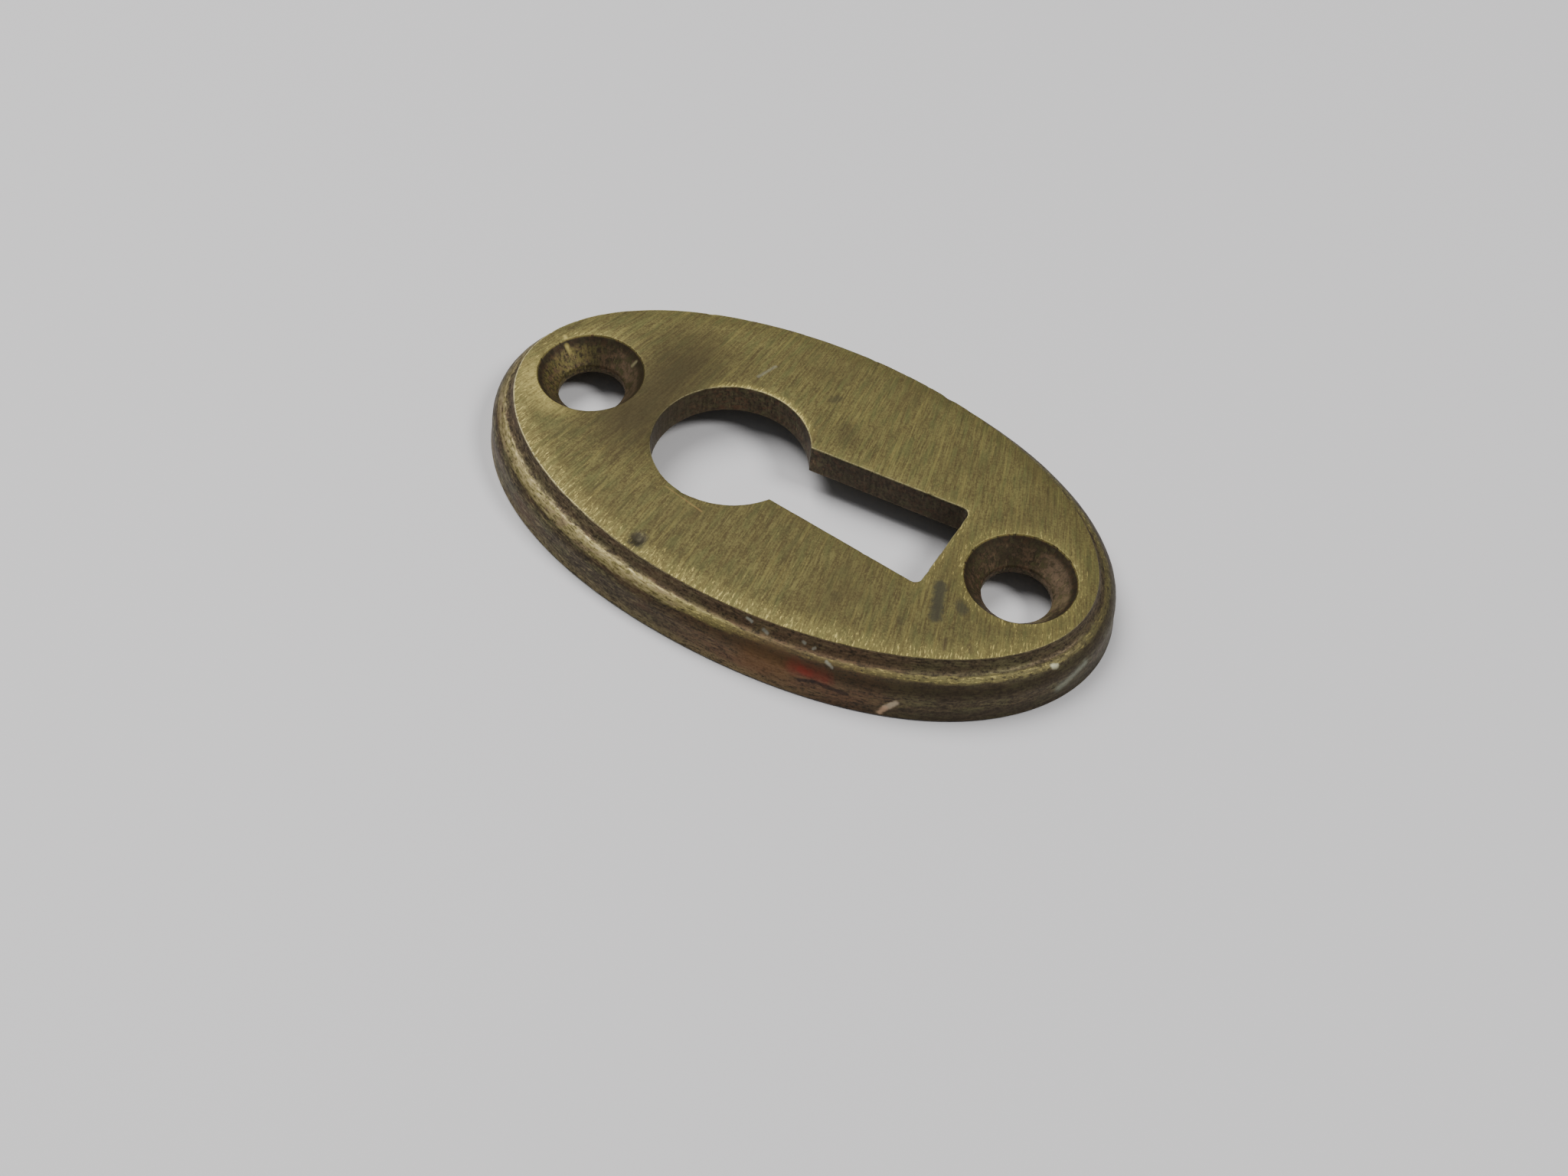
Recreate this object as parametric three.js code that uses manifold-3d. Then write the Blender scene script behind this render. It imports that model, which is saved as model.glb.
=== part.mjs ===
// Oval keyhole escutcheon, cast in one piece: a moulded rim round a flat face, a keyhole with a
// flared slot, two countersunk screw holes and a hollow back. Millimetres, +Z out of the face.
// The origin is the middle of the back, at the level of the rim that lies against the door.
import * as THREE from 'three';
import { mergeVertices } from 'three/addons/utils/BufferGeometryUtils.js';
import Module from 'manifold-3d';

const wasm = await Module();
wasm.setup();

// Plate. The flat face is a true oval, and every line of the moulding runs parallel to its edge.
const FACE_HALF_LENGTH = 22.9;
const FACE_HALF_WIDTH = 13.0;
const HEIGHT = 4.45;
const WEB = 2.5; // metal left between the face and the hollow back
const STEPS_ROUND_OVAL = 132;

// Moulding, as distances out from the face's edge and down from the face.
const ARRIS_RADIUS = 0.12;
const COVE_REACH = 0.6;
const COVE_FALL = 1.1;
const SHOULDER_RADIUS = 1.65;
const SHOULDER_START_DEG = 25; // slope of the shoulder where it leaves the cove
const WALL_FLARE = 0.16; // how much further out the wall stands at its foot
const DIAGONAL_FULLNESS = 0.155; // how much wider the moulding is between the oval's axes
const FOOT_RADIUS = 0.18;

// Hollow back. The rim is what stands on the door.
const HOLLOW_INSET = 0.6; // its edge at the back, in from the face's edge
const HOLLOW_DRAFT = 0.35; // how much the casting's wall leans in on its way up
const HOLLOW_FILLET = 0.5;

// Keyhole. It was cut a little below the plate's centre line.
const KEYHOLE_X = -5.3;
const KEYHOLE_Y = -0.43;
const HEAD_RADIUS = 5.72;
const SLOT_NECK_WIDTH = 5.75;
const SLOT_END_WIDTH = 7.82;
const SLOT_END_X = 12.0;
const SLOT_CORNER_RADIUS = 0.5;
const KEYHOLE_CHAMFER = 0.15;

// Screw holes, for countersunk wood screws.
const SCREW_X = 17.7;
const COUNTERSINK_RADIUS = 3.95;
const SCREW_HOLE_RADIUS = 2.45;
const COUNTERSINK_DEPTH = 1.85;
const STEPS_ROUND_HOLE = 48;

const CLEAR = 1; // how far a cutter runs past a face

const radians = (degrees) => (degrees * Math.PI) / 180;

// Points on an arc about (cx, cy), in equal steps, both ends included. Angles are from +X.
function arcPoints(cx, cy, radiusX, radiusY, fromDeg, toDeg, steps) {
  const points = [];
  for (let i = 0; i <= steps; i++) {
    const angle = radians(fromDeg + ((toDeg - fromDeg) * i) / steps);
    points.push(new THREE.Vector2(cx + radiusX * Math.cos(angle), cy + radiusY * Math.sin(angle)));
  }
  return points;
}

// The rim's section, from the face's edge down to the foot. x is the distance out, y the height.
function mouldingSection() {
  const coveTop = HEIGHT - ARRIS_RADIUS;
  const coveFoot = HEIGHT - COVE_FALL;
  const shoulderStart = radians(SHOULDER_START_DEG);
  const shoulderX = COVE_REACH - SHOULDER_RADIUS * Math.sin(shoulderStart);
  const shoulderY = coveFoot - SHOULDER_RADIUS * Math.cos(shoulderStart);
  const wallX = shoulderX + SHOULDER_RADIUS;
  const footX = wallX + WALL_FLARE - FOOT_RADIUS;
  return [
    ...arcPoints(-ARRIS_RADIUS, coveTop, ARRIS_RADIUS, ARRIS_RADIUS, 90, 0, 2),
    ...arcPoints(COVE_REACH, coveTop, COVE_REACH, coveTop - coveFoot, 180, 270, 6).slice(1),
    ...arcPoints(shoulderX, shoulderY, SHOULDER_RADIUS, SHOULDER_RADIUS,
      90 - SHOULDER_START_DEG, 0, 6).slice(1),
    ...arcPoints(footX, FOOT_RADIUS, FOOT_RADIUS, FOOT_RADIUS, 0, -90, 2),
  ];
}

// The hollow's section, from the foot's inner edge up to its ceiling.
function hollowSection() {
  const ceiling = HEIGHT - WEB;
  const edge = -HOLLOW_INSET;
  const filletX = edge - HOLLOW_DRAFT - HOLLOW_FILLET;
  return [
    new THREE.Vector2(edge, 0),
    ...arcPoints(filletX, ceiling - HOLLOW_FILLET, HOLLOW_FILLET, HOLLOW_FILLET, 0, 90, 3),
  ];
}

// Puts a point of a section at a place round the oval: out along the oval's own normal, so that
// the moulding keeps its width, but for a little more of it between the oval's axes.
function placeRoundOval(angle, out, target) {
  const normal = new THREE.Vector2(
    Math.cos(angle) * FACE_HALF_WIDTH,
    Math.sin(angle) * FACE_HALF_LENGTH,
  ).normalize();
  const fuller = 1 + DIAGONAL_FULLNESS * Math.sin(2 * angle) ** 2;
  const reach = out > 0 ? out * fuller : out;
  target.x = FACE_HALF_LENGTH * Math.cos(angle) + reach * normal.x;
  target.y = FACE_HALF_WIDTH * Math.sin(angle) + reach * normal.y;
}

// The whole casting before it is cut: a turned plate whose rings are then drawn out to the oval.
function ovalPlate() {
  const axisTop = new THREE.Vector2(0, HEIGHT);
  const axisCeiling = new THREE.Vector2(0, HEIGHT - WEB);
  const rim = [...mouldingSection(), ...hollowSection()];
  const rings = rim.map((point) => new THREE.Vector2(FACE_HALF_LENGTH + point.x, point.y));
  const outline = [axisTop, ...rings, axisCeiling].reverse();
  const plate = new THREE.LatheGeometry(outline, STEPS_ROUND_OVAL);
  plate.rotateX(Math.PI / 2);
  const position = plate.getAttribute('position');
  const vertex = new THREE.Vector3();
  for (let i = 0; i < position.count; i++) {
    vertex.fromBufferAttribute(position, i);
    const radius = Math.hypot(vertex.x, vertex.y);
    if (radius > 0.5 * FACE_HALF_LENGTH) {
      placeRoundOval(Math.atan2(vertex.y, vertex.x), radius - FACE_HALF_LENGTH, vertex);
    }
    position.setXYZ(i, vertex.x, vertex.y, vertex.z);
  }
  return plate;
}

// The keyhole's outline: a round head that runs into a slot which widens to a square end.
function keyholeShape() {
  const halfNeck = SLOT_NECK_WIDTH / 2;
  const halfEnd = SLOT_END_WIDTH / 2;
  const neckAngle = Math.asin(halfNeck / HEAD_RADIUS);
  const neckX = KEYHOLE_X + HEAD_RADIUS * Math.cos(neckAngle);
  const side = new THREE.Vector2(SLOT_END_X - neckX, halfEnd - halfNeck).normalize();
  const cornerX = SLOT_END_X - SLOT_CORNER_RADIUS * side.x;
  const cornerY = halfEnd - SLOT_CORNER_RADIUS * side.y;
  const shape = new THREE.Shape();
  shape.absarc(KEYHOLE_X, KEYHOLE_Y, HEAD_RADIUS, neckAngle, -neckAngle, false);
  shape.lineTo(cornerX, KEYHOLE_Y - cornerY);
  shape.quadraticCurveTo(SLOT_END_X, KEYHOLE_Y - halfEnd,
    SLOT_END_X, KEYHOLE_Y - halfEnd + SLOT_CORNER_RADIUS);
  shape.lineTo(SLOT_END_X, KEYHOLE_Y + halfEnd - SLOT_CORNER_RADIUS);
  shape.quadraticCurveTo(SLOT_END_X, KEYHOLE_Y + halfEnd, cornerX, KEYHOLE_Y + cornerY);
  shape.closePath();
  return shape;
}

// The keyhole goes right through.
function keyholeCutter() {
  const cutter = new THREE.ExtrudeGeometry(keyholeShape(), {
    depth: HEIGHT + 2 * CLEAR,
    bevelEnabled: false,
    curveSegments: 30,
  });
  cutter.translate(0, 0, -CLEAR);
  return cutter;
}

// The keyhole's edge is broken all round at the face.
function keyholeChamferCutter() {
  const cutter = new THREE.ExtrudeGeometry(keyholeShape(), {
    depth: CLEAR,
    bevelThickness: KEYHOLE_CHAMFER,
    bevelSize: KEYHOLE_CHAMFER,
    bevelSegments: 1,
    curveSegments: 30,
  });
  cutter.translate(0, 0, HEIGHT);
  return cutter;
}

// One countersunk screw hole: the cone runs on past the face at the same slope.
function screwHoleCutter(x) {
  const slope = (COUNTERSINK_RADIUS - SCREW_HOLE_RADIUS) / COUNTERSINK_DEPTH;
  const outline = [
    new THREE.Vector2(0, -CLEAR),
    new THREE.Vector2(SCREW_HOLE_RADIUS, -CLEAR),
    new THREE.Vector2(SCREW_HOLE_RADIUS, HEIGHT - COUNTERSINK_DEPTH),
    new THREE.Vector2(COUNTERSINK_RADIUS + slope * CLEAR, HEIGHT + CLEAR),
    new THREE.Vector2(0, HEIGHT + CLEAR),
  ];
  const cutter = new THREE.LatheGeometry(outline, STEPS_ROUND_HOLE);
  cutter.rotateX(Math.PI / 2);
  cutter.translate(x, 0, 0);
  return cutter;
}

// A closed three.js geometry as a solid that can be cut.
function solidFrom(geometry) {
  geometry.deleteAttribute('normal');
  geometry.deleteAttribute('uv');
  const merged = mergeVertices(geometry, 1e-5);
  return new wasm.Manifold(new wasm.Mesh({
    numProp: 3,
    vertProperties: merged.getAttribute('position').array,
    triVerts: Uint32Array.from(merged.getIndex().array),
  }));
}

// The cut solid as a three.js geometry again.
function geometryFrom(solid) {
  const mesh = solid.getMesh();
  const geometry = new THREE.BufferGeometry();
  geometry.setAttribute('position', new THREE.BufferAttribute(mesh.vertProperties, 3));
  geometry.setIndex(new THREE.BufferAttribute(mesh.triVerts, 1));
  geometry.computeVertexNormals();
  return geometry;
}

function escutcheonPlate() {
  const cutters = [
    keyholeCutter(),
    keyholeChamferCutter(),
    screwHoleCutter(-SCREW_X),
    screwHoleCutter(SCREW_X),
  ];
  const cut = cutters.reduce(
    (plate, cutter) => plate.subtract(solidFrom(cutter)),
    solidFrom(ovalPlate()),
  );
  const agedBrass = new THREE.MeshStandardMaterial({
    color: new THREE.Color().setRGB(0.46, 0.42, 0.27, THREE.SRGBColorSpace),
    roughness: 0.42,
    metalness: 1,
  });
  const mesh = new THREE.Mesh(geometryFrom(cut), agedBrass);
  mesh.name = 'escutcheon_plate';
  return mesh;
}

const escutcheon = new THREE.Group();
escutcheon.add(escutcheonPlate());

export default escutcheon;
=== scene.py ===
import math
from collections import namedtuple

import bmesh
import bpy
import numpy as np
from mathutils import Matrix, Vector, kdtree
from mathutils.geometry import delaunay_2d_cdt


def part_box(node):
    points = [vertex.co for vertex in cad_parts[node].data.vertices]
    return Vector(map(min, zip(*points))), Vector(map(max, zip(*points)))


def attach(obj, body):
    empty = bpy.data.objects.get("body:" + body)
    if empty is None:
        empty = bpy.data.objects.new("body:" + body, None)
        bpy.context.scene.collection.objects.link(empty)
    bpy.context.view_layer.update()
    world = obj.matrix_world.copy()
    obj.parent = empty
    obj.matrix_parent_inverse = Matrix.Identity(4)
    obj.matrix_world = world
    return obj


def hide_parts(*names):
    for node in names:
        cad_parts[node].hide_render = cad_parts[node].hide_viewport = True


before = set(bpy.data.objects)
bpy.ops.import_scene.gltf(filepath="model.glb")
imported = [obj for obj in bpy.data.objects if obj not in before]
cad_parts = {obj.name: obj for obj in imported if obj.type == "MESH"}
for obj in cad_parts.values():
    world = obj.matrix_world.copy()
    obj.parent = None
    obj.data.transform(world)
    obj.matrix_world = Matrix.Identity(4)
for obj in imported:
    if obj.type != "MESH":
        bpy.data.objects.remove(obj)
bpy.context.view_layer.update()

# The CAD part: its box gives the overall sizes, and it is hidden once the finished piece is made.
NODE = "escutcheon_plate"
MM = 0.001

# ------------------------------------------------------------
# Sizes, in millimetres. The overall ones come from the frame.
# ------------------------------------------------------------
_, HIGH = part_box(NODE)
HEIGHT = HIGH.z / MM
WEB = 2.5

COVE_REACH = 0.6
COVE_FALL = 1.1
SHOULDER_RADIUS = 1.65
SHOULDER_START_DEG = 25
WALL_FLARE = 0.16
FOOT_RADIUS = 0.18
DIAGONAL_FULLNESS = 0.155
WALL_REACH = COVE_REACH + SHOULDER_RADIUS * (1 - math.sin(math.radians(SHOULDER_START_DEG)))
FOOT_REACH = WALL_REACH + WALL_FLARE
FACE_HALF_LENGTH = HIGH.x / MM - FOOT_REACH
FACE_HALF_WIDTH = HIGH.y / MM - FOOT_REACH

HOLLOW_INSET = 0.6
HOLLOW_DRAFT = 0.35
HOLLOW_FILLET = 0.5

KEYHOLE_X = -5.3
KEYHOLE_Y = -0.43
HEAD_RADIUS = 5.72
SLOT_NECK_WIDTH = 5.75
SLOT_END_WIDTH = 7.82
SLOT_END_X = 12.0
SLOT_CORNER_RADIUS = 0.5

SCREW_X = 17.7
COUNTERSINK_RADIUS = 3.95
SCREW_HOLE_RADIUS = 2.45
COUNTERSINK_DEPTH = 1.85

# How far filing and years of rubbing have rounded the edges.
ARRIS_RADIUS = 0.1
KEYHOLE_EDGE_RADIUS = 0.14
COUNTERSINK_EDGE_RADIUS = 0.12
BACK_EDGE_RADIUS = 0.08
FACE_ROLL_WIDTH = 1.5
FACE_ROLL_DROP = 0.05

# The casting's small faults.
WAVE_DEPTH = 0.06
WAVE_LENGTH = 2.6
GRAIN_DEPTH = 0.035
GRAIN_LENGTH = 0.5
NICK_DEPTH = 0.07
NICK_LENGTH = 0.8
PIT_PLACE = (-5.9, -11.5)
PIT_RADIUS = 0.55
PIT_DEPTH = 0.2
FAULTS_SEED = 7.0

# The finish. Polishing lines fan out from FAN_POINT.
FAN_POINT = (-6, 60)
METAL_SHARE = 0.75
DULL_ROUGHNESS = 0.64
RUBBED_ROUGHNESS = 0.5
BUMP_STRENGTH = 0.6
BUMP_HEIGHT = 0.015
# How far down the moulding's section its outer wall meets the ground.
FOOT_LENGTH = 5.4

# How fine the mesh is, and how close two points have to be to become one.
OVAL_STEPS = 520
KEYHOLE_STEP = 0.22
SCREW_HOLE_STEPS = 132
FACE_GRID = 0.27
BACK_GRID = 0.75
SEAM_GAP = 0.002
SAME_POINT = 0.004

# The floor and the camera. Angles are in degrees, lengths in millimetres.
FLOOR_HALF_WIDTH = 2000
CAMERA_AZIMUTH = 26.78
CAMERA_ELEVATION = 51.17
CAMERA_ROLL = 5.17
CAMERA_DISTANCE = 126.41
CAMERA_TARGET = (3.04, -6.50, 0)
CAMERA_LENS = 41.30


# ------------------------------------------------------------
# Lines of points.
# ------------------------------------------------------------
def arc(cx, cy, rx, ry, start, end, steps):
    """Points on an arc, both ends included. Angles are in degrees from +X."""
    angles = np.radians(np.linspace(start, end, steps + 1))
    return np.column_stack([cx + rx * np.cos(angles), cy + ry * np.sin(angles)])


def straight(start, end, steps):
    """Points on a straight line, both ends included."""
    share = np.linspace(0, 1, steps + 1)[:, None]
    return np.array(start) + share * (np.array(end) - np.array(start))


def chain(*runs):
    """Joins runs of points, leaving out a point that repeats the one before it."""
    points = np.vstack(runs)
    moved = np.linalg.norm(np.diff(points, axis=0), axis=1) > 1e-6
    return points[np.concatenate([[True], moved])]


# ------------------------------------------------------------
# Sections: x is the distance out from an outline, y the height.
# ------------------------------------------------------------
def moulding_section():
    """From the face's edge down the moulding, under the foot and up into the hollow back."""
    cove_top = HEIGHT - ARRIS_RADIUS
    cove_foot = HEIGHT - COVE_FALL
    start = math.radians(SHOULDER_START_DEG)
    shoulder_x = COVE_REACH - SHOULDER_RADIUS * math.sin(start)
    shoulder_y = cove_foot - SHOULDER_RADIUS * math.cos(start)
    foot_x = FOOT_REACH - FOOT_RADIUS
    ceiling = HEIGHT - WEB
    rim_x = -HOLLOW_INSET
    back = BACK_EDGE_RADIUS
    wall_top = ceiling - HOLLOW_FILLET
    return chain(
        arc(-ARRIS_RADIUS, cove_top, ARRIS_RADIUS, ARRIS_RADIUS, 90, 0, 5),
        arc(COVE_REACH, cove_top, COVE_REACH, cove_top - cove_foot, 180, 270, 14),
        arc(shoulder_x, shoulder_y, SHOULDER_RADIUS, SHOULDER_RADIUS,
            90 - SHOULDER_START_DEG, 0, 16),
        straight((WALL_REACH, shoulder_y), (FOOT_REACH, FOOT_RADIUS), 9),
        arc(foot_x, FOOT_RADIUS, FOOT_RADIUS, FOOT_RADIUS, 0, -90, 4),
        straight((foot_x, 0), (rim_x + back, 0), 4),
        arc(rim_x + back, back, back, back, -90, -180, 3),
        straight((rim_x, back), (rim_x - HOLLOW_DRAFT, wall_top), 4),
        arc(rim_x - HOLLOW_DRAFT - HOLLOW_FILLET, wall_top, HOLLOW_FILLET, HOLLOW_FILLET, 0, 90, 5),
    )


def keyhole_section():
    """From the face over the keyhole's worn edge and down its wall to the hollow back."""
    edge = KEYHOLE_EDGE_RADIUS
    back = BACK_EDGE_RADIUS
    ceiling = HEIGHT - WEB
    return chain(
        arc(edge, HEIGHT - edge, edge, edge, 90, 180, 6),
        straight((0, HEIGHT - edge), (0, ceiling + back), 9),
        arc(back, ceiling + back, back, back, 180, 270, 3),
    )


def screw_hole_section():
    """From the face down the countersink's cone and the short straight bore below it."""
    narrowing = COUNTERSINK_RADIUS - SCREW_HOLE_RADIUS
    slope = math.atan2(COUNTERSINK_DEPTH, narrowing)
    edge = COUNTERSINK_EDGE_RADIUS
    set_back = edge * math.tan(slope / 2)
    cone_top = (-set_back * math.cos(slope), HEIGHT - set_back * math.sin(slope))
    bore_top = HEIGHT - COUNTERSINK_DEPTH
    return chain(
        arc(set_back, HEIGHT - edge, edge, edge, 90, 90 + math.degrees(slope), 4),
        straight(cone_top, (-narrowing, bore_top), 16),
        straight((-narrowing, bore_top), (-narrowing, HEIGHT - WEB), 3),
    )


# ------------------------------------------------------------
# Outlines: points, the direction in which a section's distance out is measured at each, and how
# much fuller than the section the moulding is there.
# ------------------------------------------------------------
def oval_outline():
    angle = np.linspace(0, 2 * math.pi, OVAL_STEPS, endpoint=False)
    points = np.column_stack([FACE_HALF_LENGTH * np.cos(angle), FACE_HALF_WIDTH * np.sin(angle)])
    outward = np.column_stack([FACE_HALF_WIDTH * np.cos(angle), FACE_HALF_LENGTH * np.sin(angle)])
    outward /= np.linalg.norm(outward, axis=1)[:, None]
    return points, outward, DIAGONAL_FULLNESS * np.sin(2 * angle) ** 2


def circle_outline(x, radius):
    angle = np.linspace(0, 2 * math.pi, SCREW_HOLE_STEPS, endpoint=False)
    outward = np.column_stack([np.cos(angle), np.sin(angle)])
    return (x, 0) + radius * outward, outward, np.zeros(len(angle))


def keyhole_outline():
    """The round head, the slot's spreading sides, its end and the rounded corners between them."""
    half_neck = SLOT_NECK_WIDTH / 2
    half_end = SLOT_END_WIDTH / 2
    neck = math.asin(half_neck / HEAD_RADIUS)
    neck_x = HEAD_RADIUS * math.cos(neck)
    end_x = SLOT_END_X - KEYHOLE_X
    spread = math.atan2(half_end - half_neck, end_x - neck_x)
    corner_x = end_x - SLOT_CORNER_RADIUS
    corner_y = half_end - SLOT_CORNER_RADIUS * math.tan((math.pi / 2 + spread) / 2)
    head_steps = round((2 * math.pi - 2 * neck) * HEAD_RADIUS / KEYHOLE_STEP)
    side_steps = round((end_x - neck_x) / KEYHOLE_STEP)
    end_steps = round(2 * corner_y / KEYHOLE_STEP)
    head = arc(0, 0, HEAD_RADIUS, HEAD_RADIUS, math.degrees(neck), 360 - math.degrees(neck),
               head_steps)
    near_corner = arc(corner_x, -corner_y, SLOT_CORNER_RADIUS, SLOT_CORNER_RADIUS,
                      -90 - math.degrees(spread), 0, 7)
    far_corner = near_corner[::-1] * (1, -1)
    points = chain(
        head,
        straight(head[-1], near_corner[0], side_steps),
        near_corner,
        straight(near_corner[-1], far_corner[0], end_steps),
        far_corner,
        straight(far_corner[-1], head[0], side_steps),
    )[:-1]
    return points + (KEYHOLE_X, KEYHOLE_Y), mitred_normals(points), np.zeros(len(points))


def mitred_normals(points):
    """Outward normals of a closed anticlockwise outline, longer at its corners, as a mitre is."""
    ahead = np.roll(points, -1, axis=0) - points
    behind = np.roll(ahead, 1, axis=0)
    ahead = ahead / np.linalg.norm(ahead, axis=1)[:, None]
    behind = behind / np.linalg.norm(behind, axis=1)[:, None]
    square = np.column_stack([ahead[:, 1], -ahead[:, 0]])
    normal = np.column_stack([ahead[:, 1] + behind[:, 1], -ahead[:, 0] - behind[:, 0]])
    return normal / np.sum(normal * square, axis=1)[:, None]


# ------------------------------------------------------------
# A small hand for building node trees.
# ------------------------------------------------------------
class Bench:
    """Adds nodes to a tree. A value given to an input may be a number, a colour or a socket."""

    def __init__(self, tree):
        self.tree = tree

    def add(self, kind, inputs=None, out=0, **settings):
        node = self.tree.nodes.new(kind)
        for name, value in settings.items():
            setattr(node, name, value)
        for name, value in (inputs or {}).items():
            self.set(node.inputs[name], value)
        return node.outputs[out] if node.outputs else None

    def set(self, socket, value):
        if isinstance(value, bpy.types.NodeSocket):
            self.tree.links.new(value, socket)
        else:
            socket.default_value = value

    def math(self, operation, a, b=0.0, c=0.0):
        return self.add("ShaderNodeMath", {0: a, 1: b, 2: c}, operation=operation)

    def vector(self, operation, a, b=(0, 0, 0), out=0):
        return self.add("ShaderNodeVectorMath", {0: a, 1: b}, out=out, operation=operation)

    def scaled(self, a, factor):
        return self.add("ShaderNodeVectorMath", {0: a, "Scale": factor}, operation="SCALE")

    def split(self, vector):
        node = self.tree.nodes.new("ShaderNodeSeparateXYZ")
        self.set(node.inputs[0], vector)
        return node.outputs[0], node.outputs[1], node.outputs[2]

    def joined(self, x, y, z=0.0):
        return self.add("ShaderNodeCombineXYZ", {0: x, 1: y, 2: z})

    def step(self, value, low, high, to_low=0.0, to_high=1.0):
        """Rises smoothly from one value to another as the input goes from low to high."""
        inputs = {0: value, 1: low, 2: high, 3: to_low, 4: to_high}
        return self.add("ShaderNodeMapRange", inputs, interpolation_type="SMOOTHSTEP")

    def mix(self, factor, a, b):
        """Goes from one colour to another."""
        return self.add("ShaderNodeMix", {0: factor, 6: a, 7: b}, out=2, data_type="RGBA")

    def blend(self, factor, a, b):
        """Goes from one number to another."""
        return self.add("ShaderNodeMix", {0: factor, 2: a, 3: b}, data_type="FLOAT")

    def ramp(self, factor, stops):
        """A number that follows a list of places and levels."""
        node = self.tree.nodes.new("ShaderNodeValToRGB")
        self.set(node.inputs[0], factor)
        elements = node.color_ramp.elements
        while len(elements) < len(stops):
            elements.new(1)
        for element, (place, level) in zip(elements, stops):
            element.position = place
            element.color = (level, level, level, 1)
        return node.outputs[0]

    def noise(self, vector, scale=1.0, detail=2.0, roughness=0.5, seed=0.0):
        inputs = {"Vector": vector, "W": seed, "Scale": scale, "Detail": detail,
                  "Roughness": roughness}
        return self.add("ShaderNodeTexNoise", inputs, noise_dimensions="4D")


def product(bench, *values):
    result = values[0]
    for value in values[1:]:
        result = bench.math("MULTIPLY", result, value)
    return result


def largest(bench, *values):
    result = values[0]
    for value in values[1:]:
        result = bench.math("MAXIMUM", result, value)
    return result


# ------------------------------------------------------------
# What the Geometry Nodes trees share.
# ------------------------------------------------------------
def new_tree(name, inputs):
    """A tree that takes a mesh, the named inputs and a metal, with a bench for it."""
    tree = bpy.data.node_groups.new(name, "GeometryNodeTree")
    for label, kind in (("Geometry", "Geometry"), *inputs, ("Metal", "Material")):
        tree.interface.new_socket(label, in_out="INPUT", socket_type="NodeSocket" + kind)
    tree.interface.new_socket("Geometry", in_out="OUTPUT", socket_type="NodeSocketGeometry")
    return Bench(tree), tree.nodes.new("NodeGroupInput").outputs


def end_tree(bench, geometry, metal):
    """Makes the result real, gives it its metal and sends it out."""
    real = bench.add("GeometryNodeRealizeInstances", {"Geometry": geometry})
    dressed = bench.add("GeometryNodeSetMaterial", {"Geometry": real, "Material": metal})
    bench.add("NodeGroupOutput", {0: dressed})
    return bench.tree


def named(bench, name, kind="FLOAT"):
    """An attribute, by name."""
    return bench.add("GeometryNodeInputNamedAttribute", {"Name": name}, data_type=kind)


def sweep_tree():
    """The host mesh holds the outline's points, with the first one again at the end, and then the
    section's. Their attributes are outward, fuller and measure, the length along each line."""
    bench, given = new_tree("section round an outline",
                            (("Outline Points", "Int"), ("Section Points", "Int")))
    host, around, down = given["Geometry"], given["Outline Points"], given["Section Points"]

    sheet = bench.add("GeometryNodeMeshGrid", {"Vertices X": around, "Vertices Y": down})
    index = bench.add("GeometryNodeInputIndex")
    step_round = bench.math("FLOOR", bench.math("DIVIDE", bench.math("ADD", index, 0.5), down))
    step_down = bench.math("SUBTRACT", index, bench.math("MULTIPLY", step_round, down))
    section_index = bench.math("ADD", step_down, around)

    def read(name, kind, at):
        if name == "position":
            value = bench.add("GeometryNodeInputPosition")
        else:
            value = named(bench, name, kind)
        return bench.add("GeometryNodeSampleIndex", {"Geometry": host, "Value": value, "Index": at},
                         data_type=kind, domain="POINT")

    out, _, height = bench.split(read("position", "FLOAT_VECTOR", section_index))
    fuller = bench.math("ADD", read("fuller", "FLOAT", step_round), 1)
    reach = bench.math("MULTIPLY", bench.math("MAXIMUM", out, 0), fuller)
    reach = bench.math("ADD", reach, bench.math("MINIMUM", out, 0))
    place = bench.vector(
        "ADD",
        read("position", "FLOAT_VECTOR", step_round),
        bench.scaled(read("outward", "FLOAT_VECTOR", step_round), reach),
    )
    place = bench.vector("ADD", place, bench.joined(0, 0, height))
    placed = bench.add("GeometryNodeSetPosition", {"Geometry": sheet, "Position": place})

    measure = bench.joined(read("measure", "FLOAT", step_round),
                           read("measure", "FLOAT", section_index))
    noted = bench.add("GeometryNodeStoreNamedAttribute",
                      {"Geometry": placed, "Name": "measure", "Value": measure},
                      data_type="FLOAT_VECTOR", domain="POINT")
    kept = named(bench, "measure", "FLOAT_VECTOR")
    mapped = bench.add("GeometryNodeStoreNamedAttribute",
                       {"Geometry": noted, "Name": "section", "Value": kept},
                       data_type="FLOAT2", domain="CORNER")
    closed = bench.add("GeometryNodeMergeByDistance",
                       {"Geometry": mapped, "Distance": SEAM_GAP * MM})
    smooth = bench.add("GeometryNodeSetShadeSmooth", {"Geometry": closed})
    return end_tree(bench, smooth, given["Metal"])


def inputs_of(tree):
    """The identifiers of a tree's inputs, by name."""
    return {item.name: item.identifier for item in tree.interface.items_tree
            if item.item_type == "SOCKET" and item.in_out == "INPUT"}


def through_tree(host, tree, **values):
    """Puts an object through a Geometry Nodes tree and returns the plain mesh that comes out."""
    modifier = host.modifiers.new(tree.name, "NODES")
    modifier.node_group = tree
    identifiers = inputs_of(tree)
    for name, value in values.items():
        modifier[identifiers[name.replace("_", " ")]] = value
    bpy.context.view_layer.update()
    evaluated = host.evaluated_get(bpy.context.evaluated_depsgraph_get())
    mesh = bpy.data.meshes.new_from_object(evaluated)
    host.modifiers.remove(modifier)
    return mesh


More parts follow.
